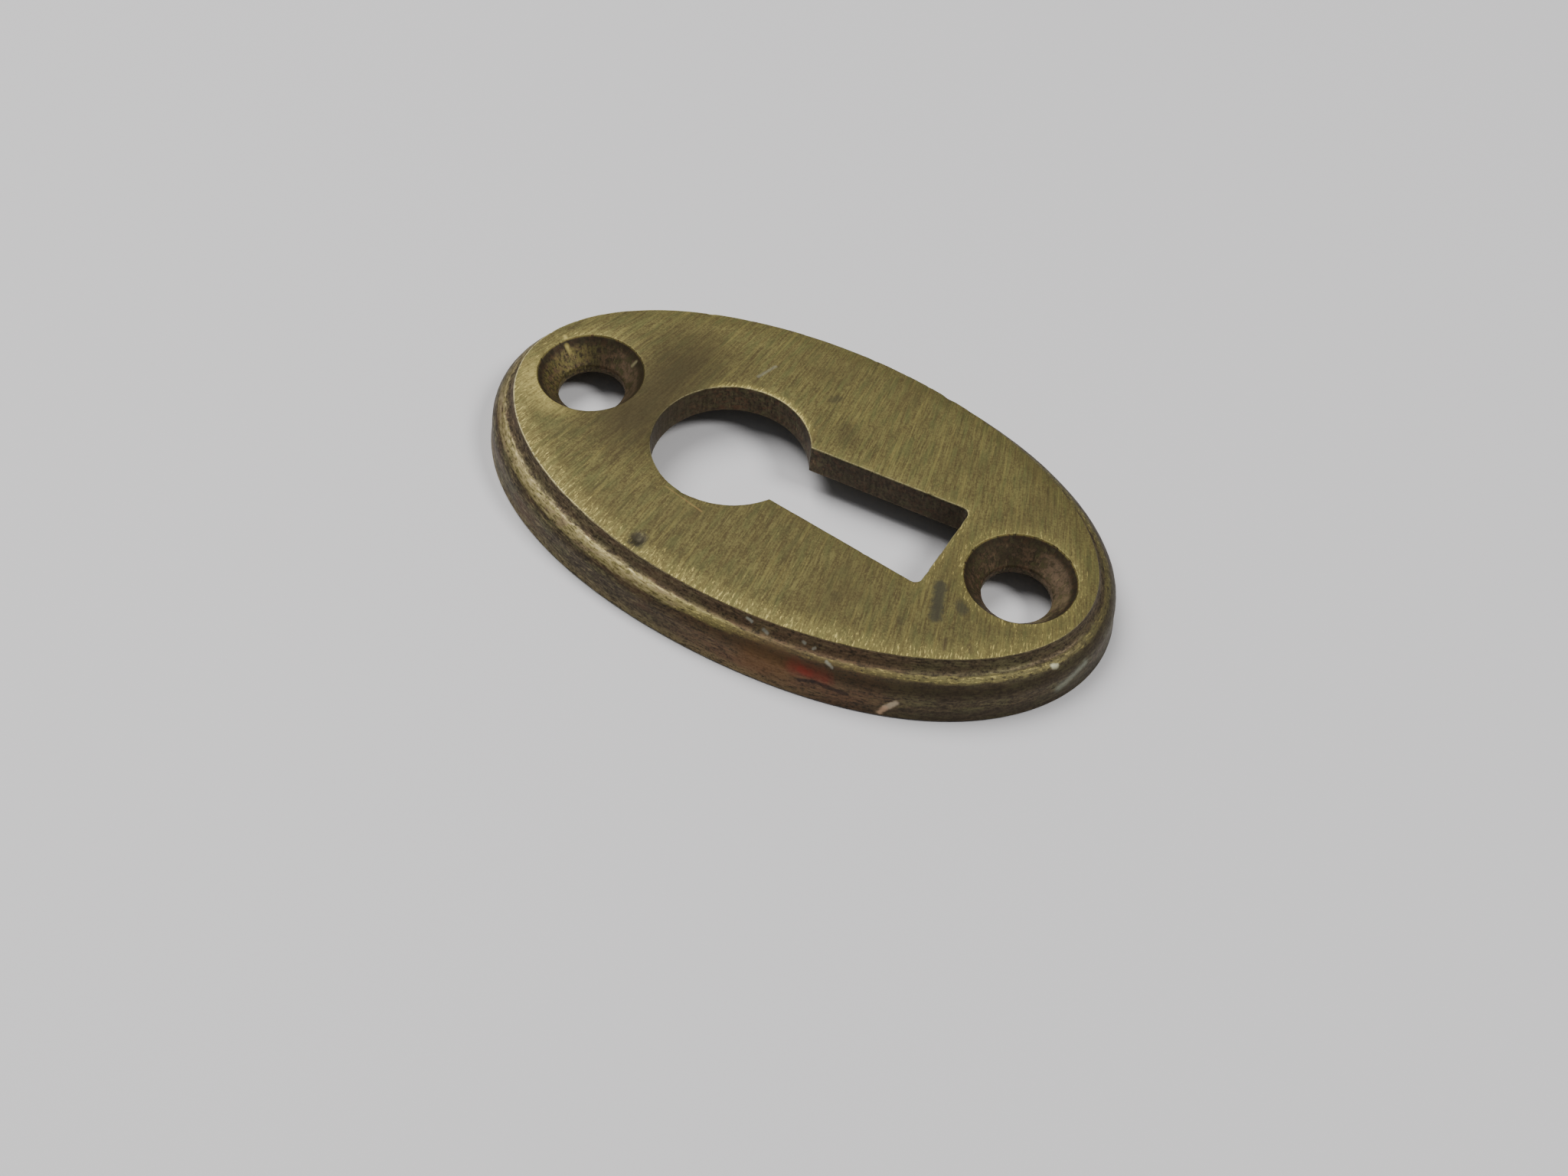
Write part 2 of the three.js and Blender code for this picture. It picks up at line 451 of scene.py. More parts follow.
def add_values(mesh, name, kind, values):
    """Adds an attribute to a mesh's points."""
    attribute = mesh.attributes.new(name, kind, "POINT")
    field = "vector" if kind == "FLOAT_VECTOR" else "value"
    attribute.data.foreach_set(field, np.asarray(values, np.float32).ravel())


def lengths_along(points):
    return np.concatenate([[0], np.cumsum(np.linalg.norm(np.diff(points, axis=0), axis=1))])


def swept_mesh(name, outline, section, tree, metal):
    """The surface that a section makes on its way round an outline."""
    points, outward, fuller = (np.concatenate([line, line[:1]]) for line in outline)
    around, down = len(points), len(section)
    flat = np.zeros((around, 3))
    flat[:, :2] = points
    upright = np.column_stack([section[:, 0], np.zeros(down), section[:, 1]])
    host_mesh = bpy.data.meshes.new(name)
    host_mesh.from_pydata(np.vstack([flat, upright]) * MM, [], [])
    outward = np.column_stack([outward, np.zeros(around)])
    add_values(host_mesh, "outward", "FLOAT_VECTOR", np.vstack([outward, np.zeros((down, 3))]))
    add_values(host_mesh, "fuller", "FLOAT", np.concatenate([fuller, np.zeros(down)]))
    add_values(host_mesh, "measure", "FLOAT",
               np.concatenate([lengths_along(points), lengths_along(section)]))
    host = bpy.data.objects.new(name, host_mesh)
    bpy.context.collection.objects.link(host)
    mesh = through_tree(host, tree, Outline_Points=around, Section_Points=down, Metal=metal)
    bpy.data.objects.remove(host)
    bpy.data.meshes.remove(host_mesh)
    return mesh


# ------------------------------------------------------------
# Flat sheets between the outlines, and the whole plate joined.
# ------------------------------------------------------------
def inside(points, outline):
    """Which points lie inside a closed outline."""
    x, y = points[:, 0], points[:, 1]
    found = np.zeros(len(points), bool)
    for (ax, ay), (bx, by) in zip(outline, np.roll(outline, -1, axis=0)):
        crosses = (ay > y) != (by > y)
        if ay != by:
            found ^= crosses & (x < ax + (y - ay) * (bx - ax) / (by - ay))
    return found


def grown(outline, reach):
    """An outline moved out by a section's reach."""
    points, outward, fuller = outline
    return points + outward * (reach * (1 + fuller if reach > 0 else np.ones(len(fuller))))[:, None]


def sheet_mesh(name, rim, holes, height, grid, metal):
    """A flat sheet of near-equal triangles inside a rim, with holes left out."""
    half_length, half_width = np.abs(rim).max(axis=0)
    row_gap = grid * math.sqrt(3) / 2
    rows = np.arange(-half_width, half_width, row_gap)
    columns = np.arange(-half_length, half_length, grid)
    x, y = np.meshgrid(columns, rows)
    x = x + grid / 2 * (np.arange(len(rows)) % 2)[:, None]
    points = np.column_stack([x.ravel(), y.ravel()])
    keep = inside(points, rim)
    for hole in holes:
        keep &= ~inside(points, hole)
    points = points[keep]

    edges_at = np.vstack([rim, *holes])
    tree = kdtree.KDTree(len(edges_at))
    for number, (px, py) in enumerate(edges_at):
        tree.insert((px, py, 0), number)
    tree.balance()
    clear = [tree.find((px, py, 0))[2] > grid * 0.6 for px, py in points]
    points = points[np.array(clear)]

    corners = [Vector(p) for p in edges_at] + [Vector(p) for p in points]
    borders = []
    first = 0
    for loop in (rim, *holes):
        last = first + len(loop) - 1
        borders += [(n, n + 1) for n in range(first, last)] + [(last, first)]
        first = last + 1
    placed, _, faces, *_ = delaunay_2d_cdt(corners, borders, [], 1, 1e-6)
    placed = np.array(placed)
    faces = np.array(faces)
    middles = placed[faces].mean(axis=1)
    solid = inside(middles, rim)
    for hole in holes:
        solid &= ~inside(middles, hole)
    mesh = bpy.data.meshes.new(name)
    places = np.column_stack([placed, np.full(len(placed), height)]) * MM
    mesh.from_pydata(places, [], faces[solid].tolist())
    mesh.materials.append(metal)
    section = mesh.attributes.new("section", "FLOAT2", "CORNER")
    section.data.foreach_set("vector", placed[faces[solid]].astype(np.float32).ravel())
    return mesh


def plate_mesh(metal):
    """The closed plate: moulding, keyhole wall and screw holes, joined by the face and the back."""
    moulding, keyhole, screw = moulding_section(), keyhole_section(), screw_hole_section()
    oval, key = oval_outline(), keyhole_outline()
    screws = [circle_outline(side * SCREW_X, COUNTERSINK_RADIUS) for side in (-1, 1)]
    tree = sweep_tree()
    parts = [
        swept_mesh("moulding", oval, moulding, tree, metal),
        swept_mesh("keyhole_wall", key, keyhole, tree, metal),
        *(swept_mesh("screw_hole", ring, screw, tree, metal) for ring in screws),
    ]
    for level, height, grid in ((0, HEIGHT, FACE_GRID), (-1, HEIGHT - WEB, BACK_GRID)):
        rim = grown(oval, moulding[level][0])
        holes = [grown(key, keyhole[level][0]), *(grown(ring, screw[level][0]) for ring in screws)]
        parts.append(sheet_mesh("sheet", rim, holes, height, grid, metal))

    plate = bmesh.new()
    for part in parts:
        plate.from_mesh(part)
        bpy.data.meshes.remove(part)
    bmesh.ops.remove_doubles(plate, verts=plate.verts, dist=SAME_POINT * MM)
    bmesh.ops.recalc_face_normals(plate, faces=plate.faces)
    for face in plate.faces:
        face.smooth = True
    mesh = bpy.data.meshes.new("keyhole_plate")
    plate.to_mesh(mesh)
    plate.free()
    mesh.materials.append(metal)
    return mesh


# ------------------------------------------------------------
# Wear: where the metal is rubbed bright, where tarnish gathers, and the casting's small faults.
# ------------------------------------------------------------
def distance_to(outline, points):
    """Each point's distance from the nearest point of an outline."""
    tree = kdtree.KDTree(len(outline))
    for number, (x, y) in enumerate(outline):
        tree.insert((x, y, 0), number)
    tree.balance()
    return np.array([tree.find((x, y, 0))[2] for x, y in points])


def rounded_off(distance, width):
    """One at an edge, falling smoothly to nothing at a distance of width."""
    share = np.clip(1 - distance / width, 0, 1)
    return share ** 2 * (3 - 2 * share)


def note_wear(mesh):
    """Writes each point's distance from the face's edges, and rolls the face down at its rim."""
    points = np.zeros(len(mesh.vertices) * 3, np.float32)
    mesh.vertices.foreach_get("co", points)
    points = points.reshape(-1, 3).astype(float) / MM
    flat = points[:, :2]
    oval, key = oval_outline()[0], keyhole_outline()[0]
    screws = [circle_outline(side * SCREW_X, COUNTERSINK_RADIUS)[0] for side in (-1, 1)]
    outside = ~inside(flat, oval)
    in_key = inside(flat, key)
    in_screw = np.minimum(*(np.hypot(flat[:, 0] - side * SCREW_X, flat[:, 1]) for side in (-1, 1)))
    in_screw = in_screw < COUNTERSINK_RADIUS + 1e-4
    to_rim = np.where(outside, 0, distance_to(oval, flat))
    to_key = np.where(in_key, 0, distance_to(key, flat))
    to_screw = np.where(in_screw, 0, distance_to(np.vstack(screws), flat))
    upper = np.clip((points[:, 2] - HEIGHT + COVE_FALL) / COVE_FALL, 0, 1)
    roll = FACE_ROLL_DROP * rounded_off(to_rim, FACE_ROLL_WIDTH)
    points[:, 2] -= roll * upper
    mesh.vertices.foreach_set("co", (points * MM).astype(np.float32).ravel())
    add_values(mesh, "to_rim", "FLOAT", to_rim)
    add_values(mesh, "to_key", "FLOAT", to_key)
    add_values(mesh, "to_screw", "FLOAT", to_screw)


# ------------------------------------------------------------
# The tree that wears the casting: shallow waves, grain, nicks along the edges and a pit.
# ------------------------------------------------------------
def worn_casting_tree():
    """Moves the surface inwards only, so the plate stays within its sizes. All in metres."""
    numbers = ("Wave Depth", "Wave Length", "Grain Depth", "Grain Length", "Nick Depth",
               "Nick Length", "Pit Radius", "Pit Depth", "Seed")
    bench, given = new_tree("worn casting",
                            (*((name, "Float") for name in numbers), ("Pit Place", "Vector")))
    place = bench.add("GeometryNodeInputPosition")
    _, _, height = bench.split(place)
    to_rim, to_key, to_screw = (named(bench, name) for name in ("to_rim", "to_key", "to_screw"))

    def unevenness(length, detail, shift):
        scale = bench.math("DIVIDE", 1, length)
        return bench.noise(place, scale, detail, 0.55, bench.math("ADD", given["Seed"], shift))

    to_edge = bench.math("MINIMUM", bench.math("MINIMUM", to_rim, to_key), to_screw)
    flat_face = bench.step(to_edge, 0.0, 1.2)
    waves = product(bench, unevenness(given["Wave Length"], 2, 0), given["Wave Depth"],
                    bench.math("SUBTRACT", 1, product(bench, flat_face, 0.7)))
    grain = product(bench, unevenness(given["Grain Length"], 2, 1), given["Grain Depth"],
                    bench.math("SUBTRACT", 1, product(bench, flat_face, 0.6)))
    along_arris = product(bench, bench.step(to_edge, 0.3, 0.0),
                          bench.step(height, (HEIGHT - 0.5) * MM, (HEIGHT - 0.1) * MM))
    nicks = product(bench, bench.step(unevenness(given["Nick Length"], 3, 2), 0.56, 0.72),
                    along_arris, given["Nick Depth"])
    from_pit = bench.vector("DISTANCE", place, given["Pit Place"], out=1)
    pit = product(bench, bench.step(bench.math("DIVIDE", from_pit, given["Pit Radius"]), 1, 0.2),
                  given["Pit Depth"])
    depth = bench.math("ADD", bench.math("ADD", waves, grain), bench.math("ADD", nicks, pit))
    depth = product(bench, depth, bench.step(height, 0.02 * MM, 0.4 * MM))
    inward = bench.scaled(bench.add("GeometryNodeInputNormal"), bench.math("MULTIPLY", depth, -1))
    moved = bench.add("GeometryNodeSetPosition", {"Geometry": given["Geometry"], "Offset": inward})
    return end_tree(bench, moved, given["Metal"])


def wear_casting(mesh, metal):
    """The worn mesh that comes out of the tree."""
    host = bpy.data.objects.new("casting", mesh)
    bpy.context.collection.objects.link(host)
    worn = through_tree(
        host,
        worn_casting_tree(),
        Wave_Depth=WAVE_DEPTH * MM,
        Wave_Length=WAVE_LENGTH * MM,
        Grain_Depth=GRAIN_DEPTH * MM,
        Grain_Length=GRAIN_LENGTH * MM,
        Nick_Depth=NICK_DEPTH * MM,
        Nick_Length=NICK_LENGTH * MM,
        Pit_Place=(PIT_PLACE[0] * MM, PIT_PLACE[1] * MM, HEIGHT * MM),
        Pit_Radius=PIT_RADIUS * MM,
        Pit_Depth=PIT_DEPTH * MM,
        Seed=FAULTS_SEED,
        Metal=metal,
    )
    bpy.data.objects.remove(host)
    bpy.data.meshes.remove(mesh)
    return worn


# ------------------------------------------------------------
# Aged brass.
# ------------------------------------------------------------
def swatch(red, green, blue):
    """A colour given as a swatch from 0 to 255, as the shader wants it."""
    linear = (value / 255 / 12.92 if value < 10.3 else ((value / 255 + 0.055) / 1.055) ** 2.4
              for value in (red, green, blue))
    return (*linear, 1)


BRIGHT_BRASS = swatch(206, 190, 114)
YELLOW_BRASS = swatch(150, 139, 79)
OLIVE_BRASS = swatch(122, 115, 69)
GREEN_PATINA = swatch(90, 94, 56)
BROWN_PATINA = swatch(86, 75, 47)
UMBER = swatch(64, 56, 37)
DARK_OXIDE = swatch(92, 79, 58)
# Black oxide, also used for painted shade: along the foot, below the countersinks' edges, on the
# cones' far sides and on the slot's walls.
BLACK_OXIDE_AND_SHADE = swatch(56, 48, 37)
RED_OXIDE = swatch(112, 80, 58)
GREEN_OXIDE = swatch(98, 95, 64)
TAN_METAL = swatch(164, 150, 106)
PINK_METAL = swatch(150, 128, 104)
PALE_EDGE = swatch(192, 182, 136)

# How wide and how bright the shoulder's rubbed band and its painted highlight are, from the left
# end of the plate to the right.
RUB_ENDS = (-24, 24)
RUB_AND_HIGHLIGHT_WIDTH = ((0, 0.5), (0.1, 0.7), (0.3, 0.95), (0.42, 0.85), (0.54, 0.6), (0.66, 0.1),
             (0.78, 0.12), (0.92, 0.22), (1, 0.25))
RUB_AND_HIGHLIGHT_SHINE = ((0, 0.4), (0.1, 0.8), (0.3, 0.95), (0.42, 1.0), (0.54, 0.8), (0.62, 0.15),
             (0.76, 0.55), (0.9, 0.65), (1, 0.4))


def rim_point(degrees, height):
    """A point on the outside of the moulding: its angle round the oval and its height, in mm."""
    angle = math.radians(degrees)
    section = moulding_section()
    section = section[:np.argmin(section[:, 1]) + 1]
    reach = np.interp(height, section[::-1, 1], section[::-1, 0])
    reach *= 1 + DIAGONAL_FULLNESS * math.sin(2 * angle) ** 2
    outward = np.array([FACE_HALF_WIDTH * math.cos(angle), FACE_HALF_LENGTH * math.sin(angle)])
    outward /= np.linalg.norm(outward)
    x = FACE_HALF_LENGTH * math.cos(angle) + outward[0] * reach
    y = FACE_HALF_WIDTH * math.sin(angle) + outward[1] * reach
    return x, y, height


def face_point(x, y):
    """A point on the face."""
    return x, y, HEIGHT


# A stroke of colour from one point to another.
Mark = namedtuple("Mark", "start end width softness paint strength")
PALE_SPECK = swatch(170, 172, 158)
MARKS = (
    # Tarnish between the left screw hole and the keyhole.
    Mark(face_point(-12.5, -2.2), face_point(-12.4, 4.0), 6.0, 1.0, swatch(64, 55, 35), 0.85),
    # Dirt in the pit, grey smudges and small brown stains.
    Mark(face_point(-5.9, -11.45), face_point(-5.85, -11.6), 1.25, 0.6, swatch(46, 42, 36), 0.85),
    Mark(face_point(13.4, -3.7), face_point(14.4, -6.2), 0.85, 0.5, swatch(60, 58, 47), 0.8),
    Mark(face_point(15.35, -4.4), face_point(15.65, -4.75), 0.75, 0.6, swatch(64, 61, 47), 0.7),
    Mark(face_point(-1.4, 7.5), face_point(-1.2, 7.8), 0.6, 0.8, swatch(60, 56, 42), 0.6),
    Mark(face_point(0.9, 5.3), face_point(1.5, 4.6), 1.6, 1.0, swatch(64, 56, 38), 0.45),
    Mark(face_point(7.8, -8.3), face_point(8.0, -8.5), 0.6, 0.8, swatch(66, 60, 40), 0.5),
    Mark(face_point(15.8, -7.6), face_point(16.1, -8.3), 0.3, 0.8, swatch(66, 54, 40), 0.55),
    Mark(face_point(17.4, -7.1), face_point(17.7, -7.6), 0.34, 0.8, swatch(66, 54, 40), 0.5),
    Mark(face_point(12.4, -7.7), face_point(12.7, -8.0), 0.4, 0.8, swatch(66, 58, 42), 0.45),
    # Scratches on the face.
    Mark(face_point(-7.2, 6.5), face_point(-6.7, 8.1), 0.24, 0.8, swatch(146, 150, 142), 0.25),
    Mark(face_point(-6.9, -6.4), face_point(-3.6, -7.0), 0.12, 0.8, swatch(166, 136, 84), 0.4),
    # Specks of pale paint in the cove.
    Mark(rim_point(-80.6, 3.9), rim_point(-79.8, 3.8), 0.26, 0.5, PALE_SPECK, 0.65),
    Mark(rim_point(-77.4, 3.6), rim_point(-76.6, 3.5), 0.24, 0.6, PALE_SPECK, 0.55),
    Mark(rim_point(-70.2, 3.7), rim_point(-69.9, 3.65), 0.22, 0.6, PALE_SPECK, 0.55),
    Mark(rim_point(-68.2, 3.5), rim_point(-68.0, 3.55), 0.2, 0.6, PALE_SPECK, 0.5),
    Mark(rim_point(-65.4, 3.25), rim_point(-64.2, 3.1), 0.22, 0.7, PALE_SPECK, 0.45),
    # Red paint with a brown stain beside it, a dark scratch below it and a pale chip.
    Mark(rim_point(-78.0, 1.9), rim_point(-73.0, 2.0), 1.9, 1.0, swatch(124, 88, 50), 0.45),
    Mark(rim_point(-70.6, 2.5), rim_point(-65.0, 2.3), 1.0, 0.95, swatch(128, 60, 46), 0.6),
    Mark(rim_point(-69.6, 2.5), rim_point(-67.8, 2.4), 0.5, 0.9, swatch(146, 50, 42), 0.4),
    Mark(rim_point(-69.4, 1.5), rim_point(-67.0, 1.8), 0.34, 0.5, swatch(40, 30, 26), 0.75),
    Mark(rim_point(-67.0, 1.8), rim_point(-61.0, 1.45), 0.36, 0.5, swatch(40, 30, 26), 0.75),
    Mark(rim_point(-52.2, 1.5), rim_point(-53.6, 1.0), 0.46, 0.6, swatch(186, 170, 144), 0.8),
    Mark(rim_point(-53.8, 0.9), rim_point(-54.8, 0.4), 0.36, 0.7, swatch(188, 156, 126), 0.85),
    # Pale rubs at the right end.
    Mark(rim_point(-9.0, 2.1), rim_point(-17.0, 1.3), 0.6, 0.95, swatch(150, 156, 138), 0.5),
    Mark(rim_point(-18.4, 3.15), rim_point(-17.6, 3.1), 0.34, 0.7, swatch(200, 198, 166), 0.7),
    # Painted glints: bright strokes in the left countersink.
    Mark((-20.8, 1.5, 3.5), (-21.0, 1.6, 4.0), 0.3, 0.9, BRIGHT_BRASS, 0.6),
    Mark((-21.3, 1.9, 4.4), (-21.5, 2.05, 4.4), 0.26, 0.9, BRIGHT_BRASS, 0.5),
    Mark((-16.0, 2.9, 3.6), (-15.8, 3.1, 4.0), 0.24, 0.9, swatch(186, 178, 136), 0.6),
)


class Plan:
    """Where a point of the plate is, as sockets in millimetres, and which surface it is on."""

    def __init__(self, bench):
        self.bench = bench
        self.place = bench.scaled(bench.add("ShaderNodeTexCoord", out=3), 1 / MM)
        self.x, self.y, self.z = bench.split(self.place)
        self.along, self.down, _ = bench.split(bench.add("ShaderNodeUVMap", uv_map="section"))
        self.to_rim, self.to_key, self.to_screw = (
            bench.add("ShaderNodeAttribute", out=2, attribute_name=name)
            for name in ("to_rim", "to_key", "to_screw"))
        nearest_hole = bench.math("MINIMUM", self.to_key, self.to_screw)
        self.to_edge = bench.math("MINIMUM", self.to_rim, nearest_hole)
        self.on_face = bench.step(self.to_edge, 0.0, 0.05)
        self.on_rim = bench.step(self.to_rim, 0.05, 0.0)
        self.in_screw = bench.step(self.to_screw, 0.05, 0.0)
        # The hollow back: the moulding past its foot, and the underside of the face.
        under = product(bench, self.on_rim, bench.step(self.down, FOOT_LENGTH - 0.2, FOOT_LENGTH))
        ceiling = product(bench, bench.math("SUBTRACT", 1, self.on_rim),
                          bench.step(self.z, HEIGHT - WEB + 0.2, HEIGHT - WEB + 0.05))
        self.at_back = bench.math("ADD", under, ceiling)
        # Polishing lines fan out from a point far beyond the plate's long side.
        share = bench.math("SUBTRACT", 1, bench.math("DIVIDE", self.y, FAN_POINT[1]))
        self.fan = bench.math("DIVIDE", bench.math("SUBTRACT", self.x, FAN_POINT[0]), share)
        self.ragged = bench.math("SUBTRACT", self.spots(0.3, 2, 40), 0.5)

    def lines(self, across, along, pitch, length, detail=2, seed=0.0, roughness=0.5):
        """Fine lines of a given pitch and length."""
        at = self.bench.joined(self.bench.math("DIVIDE", across, pitch),
                               self.bench.math("DIVIDE", along, length), seed * 7.3)
        return self.bench.noise(at, 1, detail, roughness, seed)

    def spots(self, size, detail=2, seed=0.0, roughness=0.5):
        """Mottling of a given size."""
        return self.bench.noise(self.place, 1 / size, detail, roughness, seed)


def face_finish(bench, plan):
    """Olive brass under fine short polishing scratches, rubbed brighter near its edges, with
    painted sheen and highlights at some edges and painted shade towards the near side.
    """
    fine = plan.lines(plan.fan, plan.y, 0.12, 1.2, 3, 1, 0.6)
    mottle = plan.spots(0.14, 2, 2, 0.6)
    tone = bench.math("ADD", product(bench, fine, 0.55), product(bench, mottle, 0.45))
    colour = bench.mix(bench.step(tone, 0.37, 0.65), BROWN_PATINA, OLIVE_BRASS)
    broad = plan.lines(plan.fan, plan.y, 0.6, 2.4, 3, 3, 0.6)
    colour = bench.mix(product(bench, bench.step(broad, 0.44, 0.68), 0.55), colour, GREEN_PATINA)
    long = plan.lines(plan.fan, plan.y, 0.24, 4, 2, 5)
    colour = bench.mix(product(bench, bench.step(long, 0.56, 0.7), 0.32), colour, YELLOW_BRASS)
    colour = bench.mix(product(bench, bench.step(long, 0.44, 0.3), 0.4), colour, UMBER)
    # Painted shade: the face grows darker towards the near side.
    colour = bench.mix(bench.step(plan.y, 3, -5, 0, 0.22), colour, UMBER)
    cloud = plan.spots(4.5, 3, 4)
    colour = bench.mix(product(bench, bench.step(cloud, 0.46, 0.68), 0.4), colour, BROWN_PATINA)

    near_side = bench.step(plan.y, 2, -6, 0.12, 1)
    rim_wear = product(bench, bench.step(plan.to_rim, 2.2, 0.0), near_side)
    by_holes = bench.step(bench.math("MINIMUM", plan.to_screw, plan.to_key), 1.2, 0.0)
    rubbed_holes = bench.math("MAXIMUM", bench.step(plan.x, 9, 13, 0.2, 0.75),
                              bench.step(plan.x, -16.5, -19.5, 0, 0.8))
    hole_wear = product(bench, by_holes, rubbed_holes)
    # Rubbed metal and a painted sheen along the far edge of the keyhole's head.
    head_wear_and_sheen = product(bench, bench.step(plan.to_key, 0.75, 0.0), bench.step(plan.y, 3.2, 4.2))
    wear_and_sheen = largest(bench, rim_wear, hole_wear, product(bench, head_wear_and_sheen, 2.0))
    scratches = plan.lines(plan.fan, plan.y, 0.12, 0.5, 3, 6, 0.65)
    worn = bench.step(bench.math("ADD", scratches, product(bench, wear_and_sheen, 0.085)), 0.6, 0.74)
    colour = bench.mix(product(bench, wear_and_sheen, 0.22), colour, YELLOW_BRASS)
    colour = bench.mix(product(bench, worn, bench.step(wear_and_sheen, 0, 0.6, 0.2, 0.65)), colour,
                       BRIGHT_BRASS)
    # Rubbed yellow round the near left of the left screw hole.
    halo = product(bench, bench.step(plan.to_screw, 1.9, 0.3), bench.step(plan.x, -15, -19),
                   bench.step(plan.y, 0, -3), bench.step(tone, 0.34, 0.58, 0.4, 1))
    colour = bench.mix(product(bench, halo, 0.42), colour, BRIGHT_BRASS)
    dents = bench.step(plan.lines(plan.fan, plan.y, 0.16, 0.6, 3, 8, 0.65), 0.6, 0.7)
    colour = bench.mix(product(bench, dents, 0.5), colour, UMBER)

    # Pale lines along the left arris and the keyhole's edge: rubbed metal with a painted highlight.
    left_arris_highlight = product(bench, bench.step(plan.to_rim, 0.16, 0.06), bench.step(plan.x, -6, -14))
    key_edge_highlight = product(bench, bench.step(plan.to_key, 0.14, 0.04),
                       bench.step(plan.x, 2, -6, 0.5, 0.9))
    edge = product(bench, bench.math("MAXIMUM", left_arris_highlight, key_edge_highlight), bench.step(tone, 0.36, 0.5))
    return bench.mix(product(bench, edge, 0.9), colour, PALE_EDGE), tone


def rim_finish(bench, plan):
    """Dark in the cove, rubbed to tan metal with a painted highlight on the shoulder, mottled brown
    and green below it, with painted sheen on the left and painted shade and floor light at the
    foot.
    """
    streak = plan.lines(plan.down, plan.along, 0.14, 0.6, 3, 11, 0.65)
    patch = plan.lines(plan.down, plan.along, 0.7, 1.9, 3, 12, 0.65)
    stain = plan.lines(plan.down, plan.along, 1.6, 4, 2, 15)
    mottle = plan.spots(0.17, 3, 13, 0.65)
    tone = bench.math("ADD", product(bench, streak, 0.5), product(bench, mottle, 0.5))
    colour = bench.mix(bench.step(tone, 0.37, 0.63), BLACK_OXIDE_AND_SHADE, DARK_OXIDE)
    green = product(bench, bench.step(patch, 0.44, 0.62), bench.step(tone, 0.36, 0.6))
    colour = bench.mix(product(bench, green, 0.8), colour, GREEN_OXIDE)
    middle = product(bench, bench.step(plan.x, -4, 4), bench.step(plan.x, 17, 11),
                     bench.step(plan.y, 0, -4), bench.step(plan.down, 1.2, 1.9, 0.5, 1))
    stained = product(bench, bench.step(stain, 0.52, 0.68), bench.step(plan.x, 16, 8))
    reddish = largest(bench, product(bench, stained, 0.3),
                      product(bench, middle, bench.step(tone, 0.36, 0.58), 0.75))
    colour = bench.mix(reddish, colour, RED_OXIDE)
    groove = bench.step(plan.lines(plan.down, plan.along, 0.3, 2.5, 2, 16), 0.56, 0.72)
    colour = bench.mix(product(bench, groove, 0.35), colour, BLACK_OXIDE_AND_SHADE)

    # Paler streaks that grow stronger to the left: streaky metal with a painted sheen.
    pale = product(bench, bench.step(streak, 0.54, 0.68), bench.step(plan.x, 0, -12, 0.1, 0.42))
    colour = bench.mix(pale, colour, TAN_METAL)

    in_cove = product(bench, bench.step(plan.down, 1.35, 1.0), bench.step(plan.x, 4, -4, 0.1, 0.28),
                      bench.step(tone, 0.36, 0.62))
    colour = bench.mix(in_cove, colour, PINK_METAL)

    # The shoulder's rubbed band, with a painted highlight along it. Its right part gets painted
    # glints of bright yellow.
    across = bench.add("ShaderNodeMapRange", {0: plan.x, 1: RUB_ENDS[0], 2: RUB_ENDS[1]})
    width, shine = bench.ramp(across, RUB_AND_HIGHLIGHT_WIDTH), bench.ramp(across, RUB_AND_HIGHLIGHT_SHINE)
    wobble = bench.math("SUBTRACT", plan.lines(plan.down, plan.along, 0.3, 1.2, 3, 14, 0.65), 0.5)
    level = bench.math("ADD", plan.down, product(bench, wobble, 0.5))
    lower = bench.math("ADD", 1.7, product(bench, width, 0.6))
    band = product(bench, bench.step(level, 1.28, 1.46),
                   bench.step(bench.math("SUBTRACT", level, lower), 0.14, -0.1))
    metal = bench.mix(bench.step(streak, 0.38, 0.6), OLIVE_BRASS, TAN_METAL)
    metal = bench.mix(product(bench, bench.step(patch, 0.5, 0.62), 0.6), metal, PINK_METAL)
    metal = bench.mix(product(bench, bench.step(streak, 0.56, 0.7), 0.65), metal, PALE_EDGE)
    glints = bench.step(plan.lines(plan.down, plan.along, 0.14, 0.4, 3, 17, 0.65), 0.5, 0.66)
    yellow = bench.mix(product(bench, glints, 0.85), OLIVE_BRASS, BRIGHT_BRASS)
    metal = bench.mix(bench.step(plan.x, -5, 3), metal, yellow)
    colour = bench.mix(product(bench, band, shine, bench.step(tone, 0.34, 0.5)), colour, metal)

    # A pale line along the moulding's top edge, stronger to the left: rubbed metal with a painted
    # highlight.
    arris_highlight = product(bench, bench.step(plan.down, 0.28, 0.14), bench.step(tone, 0.36, 0.52),
                    bench.step(plan.x, 4, -12, 0.2, 0.9))
    colour = bench.mix(arris_highlight, colour, PALE_EDGE)
    # Painted shade: darker along the foot, where the wall meets the floor, mostly on the right.
    foot_height = bench.step(plan.x, 2, 20, 0.4, 1.2)
    above_foot = bench.math("SUBTRACT", bench.math("ADD", plan.z, wobble), foot_height)
    foot = bench.step(above_foot, 0.12, -0.2)
    colour = bench.mix(product(bench, foot, bench.step(plan.x, 0, 18, 0, 0.5)), colour,
                       BLACK_OXIDE_AND_SHADE)
    # Painted light from the floor: paler low on the wall, towards the left.
    floor_bounce_light = product(bench, bench.step(plan.z, 1.1, 0.2), bench.step(plan.x, 12, 2),
                    bench.step(tone, 0.34, 0.56))
    colour = bench.mix(product(bench, floor_bounce_light, 0.35), colour, TAN_METAL)
    # The shoulder that isn't rubbed stays as dark as the wall.
    unrubbed = bench.math("SUBTRACT", 1, product(bench, band, shine))
    dull = product(bench, bench.step(plan.down, 1.2, 1.6), bench.step(plan.down, 3.4, 2.6),
                   bench.step(plan.x, -4, 6), unrubbed)
    return bench.mix(product(bench, dull, 0.55), colour, BLACK_OXIDE_AND_SHADE), tone


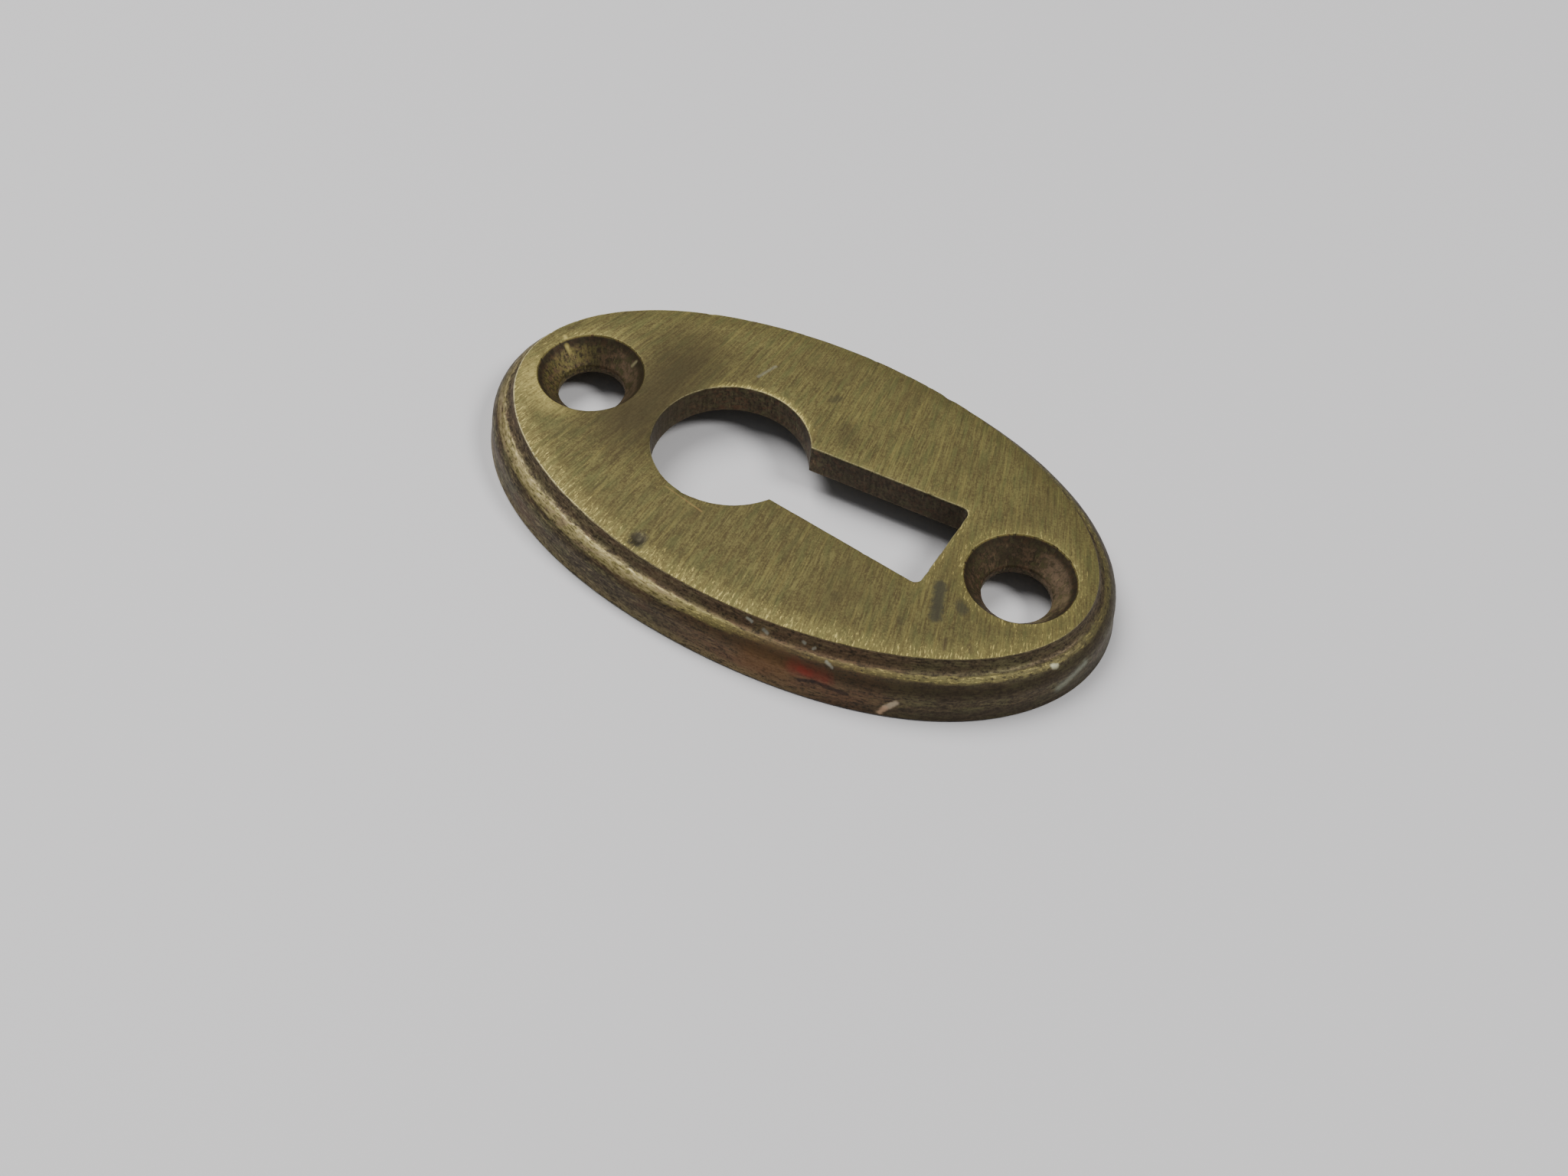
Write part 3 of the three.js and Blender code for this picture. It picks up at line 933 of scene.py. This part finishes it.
def hole_finish(bench, plan):
    """Painted shadow, nearly black, below the edge, then mottled brown with a few rubbed and
    scraped places, painted glints, painted light and shade on the cones and painted shade in the
    slot.
    """
    streak = plan.lines(plan.along, plan.down, 0.2, 0.9, 3, 21, 0.6)
    mottle = plan.spots(0.24, 3, 24, 0.7)
    tone = bench.math("ADD", product(bench, streak, 0.4), product(bench, mottle, 0.6))
    patch = plan.spots(1.0, 3, 22, 0.65)
    tint = plan.spots(0.4, 3, 25, 0.65)
    colour = bench.mix(bench.step(tone, 0.4, 0.6), BLACK_OXIDE_AND_SHADE, DARK_OXIDE)
    colour = bench.mix(product(bench, bench.step(tint, 0.5, 0.64), 0.5), colour, RED_OXIDE)
    colour = bench.mix(product(bench, bench.step(tint, 0.5, 0.36), 0.6), colour, GREEN_OXIDE)
    colour = bench.mix(product(bench, bench.step(patch, 0.5, 0.34), 0.5), colour, BLACK_OXIDE_AND_SHADE)
    cone = product(bench, plan.in_screw, bench.step(plan.down, 0.5, 1.1))
    colour = bench.mix(product(bench, cone, bench.step(tint, 0.46, 0.62), 0.25), colour,
                       PINK_METAL)
    hole_x = bench.math("MULTIPLY", bench.math("SIGN", plan.x), SCREW_X)
    from_middle = bench.math("SUBTRACT", plan.x, hole_x)
    # Painted shade on the far, left part of each cone.
    far_side_shade = product(bench, cone, bench.step(plan.y, 1, 2.2), bench.step(from_middle, 0, -1.6))
    colour = bench.mix(product(bench, far_side_shade, 0.5), colour, BLACK_OXIDE_AND_SHADE)
    # Painted light on the right part of each cone.
    right_side_light = product(bench, cone, bench.step(plan.y, -1, 0.6),
                         bench.step(from_middle, -0.4, 1.6), bench.step(tint, 0.34, 0.56))
    colour = bench.mix(product(bench, right_side_light, 0.5), colour, PINK_METAL)
    scraped = product(bench, cone, bench.step(plan.x, -18, -20.5), bench.step(tone, 0.4, 0.62))
    colour = bench.mix(product(bench, scraped, 0.55), colour, YELLOW_BRASS)
    rubbed = product(bench, cone, bench.step(plan.x, 18, 20.5), bench.step(plan.y, 2, -0.5),
                     bench.step(patch, 0.4, 0.56))
    colour = bench.mix(product(bench, rubbed, 0.4), colour, TAN_METAL)
    # Painted glints: short pale streaks down the holes' walls.
    glint = bench.step(plan.lines(plan.along, plan.down, 0.16, 1.0, 2, 23), 0.62, 0.74)
    colour = bench.mix(product(bench, glint, 0.45), colour, TAN_METAL)
    # Painted shadow: nearly black just below each countersink's top edge.
    below_edge_shadow = product(bench, plan.in_screw, bench.step(plan.down, 0.18, 0.28),
                         bench.step(plan.down, 1.0, 0.4))
    colour = bench.mix(product(bench, below_edge_shadow, 0.6), colour, BLACK_OXIDE_AND_SHADE)
    # Painted shade on the walls of the keyhole's slot.
    key_shade = product(bench, bench.math("SUBTRACT", 1, plan.in_screw),
                        bench.step(plan.x, -1, 2), 0.45)
    colour = bench.mix(key_shade, colour, BLACK_OXIDE_AND_SHADE)
    # A pale line along the holes' top edges: rubbed metal with a painted highlight.
    edge = product(bench, bench.step(plan.down, 0.26, 0.12), bench.step(tone, 0.38, 0.52))
    edge_highlight_metal = bench.mix(plan.in_screw, PALE_EDGE, YELLOW_BRASS)
    colour = bench.mix(product(bench, edge, 0.7), colour, edge_highlight_metal)
    return colour, tone


def add_mark(bench, plan, colour, mark):
    """Paints a mark: a stroke from one point to another with uneven edges."""
    run = np.subtract(mark.end, mark.start)
    from_start = bench.vector("SUBTRACT", plan.place, mark.start)
    reach = bench.vector("DOT_PRODUCT", from_start, tuple(run), out=1)
    share = bench.add("ShaderNodeClamp", {"Value": bench.math("DIVIDE", reach, float(run @ run))})
    nearest = bench.scaled(tuple(run), share)
    distance = bench.vector("DISTANCE", from_start, nearest, out=1)
    uneven = bench.math("ADD", distance, product(bench, plan.ragged, min(mark.width, 1) * 0.7))
    half = mark.width / 2
    cover = bench.step(uneven, half * (1 + mark.softness), half * (1 - mark.softness))
    return bench.mix(product(bench, cover, mark.strength), colour, mark.paint)


def brass_material():
    """Each surface gets its own finish, then the marks go on top of all of them."""
    material = bpy.data.materials.new("worn_brass")
    material.use_nodes = True
    tree = material.node_tree
    tree.nodes.clear()
    bench = Bench(tree)
    plan = Plan(bench)
    face, face_tone = face_finish(bench, plan)
    rim, rim_tone = rim_finish(bench, plan)
    hole, hole_tone = hole_finish(bench, plan)

    colour = bench.mix(plan.on_face, hole, face)
    colour = bench.mix(plan.on_rim, colour, rim)
    colour = bench.mix(product(bench, plan.at_back, 0.7), colour, DARK_OXIDE)
    for mark in MARKS:
        colour = add_mark(bench, plan, colour, mark)
    tone = bench.blend(plan.on_face, hole_tone, face_tone)
    tone = bench.blend(plan.on_rim, tone, rim_tone)

    surface = bench.add("ShaderNodeBsdfPrincipled")
    shader = surface.node
    bench.set(shader.inputs["Base Color"], colour)
    bench.set(shader.inputs["Metallic"], METAL_SHARE)
    roughness = bench.step(tone, 0.35, 0.65, DULL_ROUGHNESS, RUBBED_ROUGHNESS)
    bench.set(shader.inputs["Roughness"], roughness)
    relief = {"Strength": BUMP_STRENGTH, "Distance": BUMP_HEIGHT * MM, "Height": tone}
    bump = bench.add("ShaderNodeBump", relief)
    bench.set(shader.inputs["Normal"], bump)
    bench.add("ShaderNodeOutputMaterial", {"Surface": surface})
    return material


# ------------------------------------------------------------
# The finished piece, the floor, the lights and the camera.
# ------------------------------------------------------------
def make_plate():
    metal = brass_material()
    mesh = plate_mesh(metal)
    note_wear(mesh)
    plate = bpy.data.objects.new("keyhole_plate", wear_casting(mesh, metal))
    bpy.context.collection.objects.link(plate)
    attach(plate, "root")
    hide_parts(NODE)


def make_floor():
    half = FLOOR_HALF_WIDTH * MM
    mesh = bpy.data.meshes.new("floor")
    mesh.from_pydata([(-half, -half, 0), (half, -half, 0), (half, half, 0), (-half, half, 0)], [],
                     [(0, 1, 2, 3)])
    floor = bpy.data.objects.new("floor", mesh)
    bpy.context.collection.objects.link(floor)
    material = bpy.data.materials.new("pale_floor")
    material.use_nodes = True
    shader = material.node_tree.nodes["Principled BSDF"]
    shader.inputs["Base Color"].default_value = swatch(214, 213, 215)
    shader.inputs["Roughness"].default_value = 0.55
    mesh.materials.append(material)


def area_light(name, place, size, watts):
    """A round soft light aimed at the plate, in metres and watts."""
    light = bpy.data.lights.new(name, "AREA")
    light.shape = "DISK"
    light.size = size
    light.energy = watts
    light.color = (1, 0.99, 0.97)
    lamp = bpy.data.objects.new(name, light)
    lamp.location = place
    lamp.rotation_euler = (-Vector(place)).to_track_quat("-Z", "Y").to_euler()
    bpy.context.collection.objects.link(lamp)


def make_lights():
    area_light("right_light", place=(0.345, 0.075, 0.50), size=0.22, watts=2.35)
    area_light("left_light", place=(-0.27, 0.055, 0.50), size=0.42, watts=3.3)
    world = bpy.data.worlds.new("room")
    world.use_nodes = True
    background = world.node_tree.nodes["Background"]
    background.inputs["Color"].default_value = (0.80, 0.83, 0.88, 1)
    background.inputs["Strength"].default_value = 0.20
    bpy.context.scene.world = world


def make_camera():
    azimuth, elevation = math.radians(CAMERA_AZIMUTH), math.radians(CAMERA_ELEVATION)
    back = Vector((math.sin(azimuth) * math.cos(elevation),
                   -math.cos(azimuth) * math.cos(elevation), math.sin(elevation)))
    roll = Matrix.Rotation(math.radians(CAMERA_ROLL), 3, "Z")
    data = bpy.data.cameras.new("camera")
    data.sensor_width = 36
    data.lens = CAMERA_LENS
    data.clip_start = 1 * MM
    camera = bpy.data.objects.new("camera", data)
    camera.location = (Vector(CAMERA_TARGET) + back * CAMERA_DISTANCE) * MM
    aim = (-back).to_track_quat("-Z", "Y")
    camera.rotation_euler = (aim.to_matrix() @ roll).to_euler()
    bpy.context.collection.objects.link(camera)
    bpy.context.scene.camera = camera


make_camera()
make_floor()
make_lights()
make_plate()
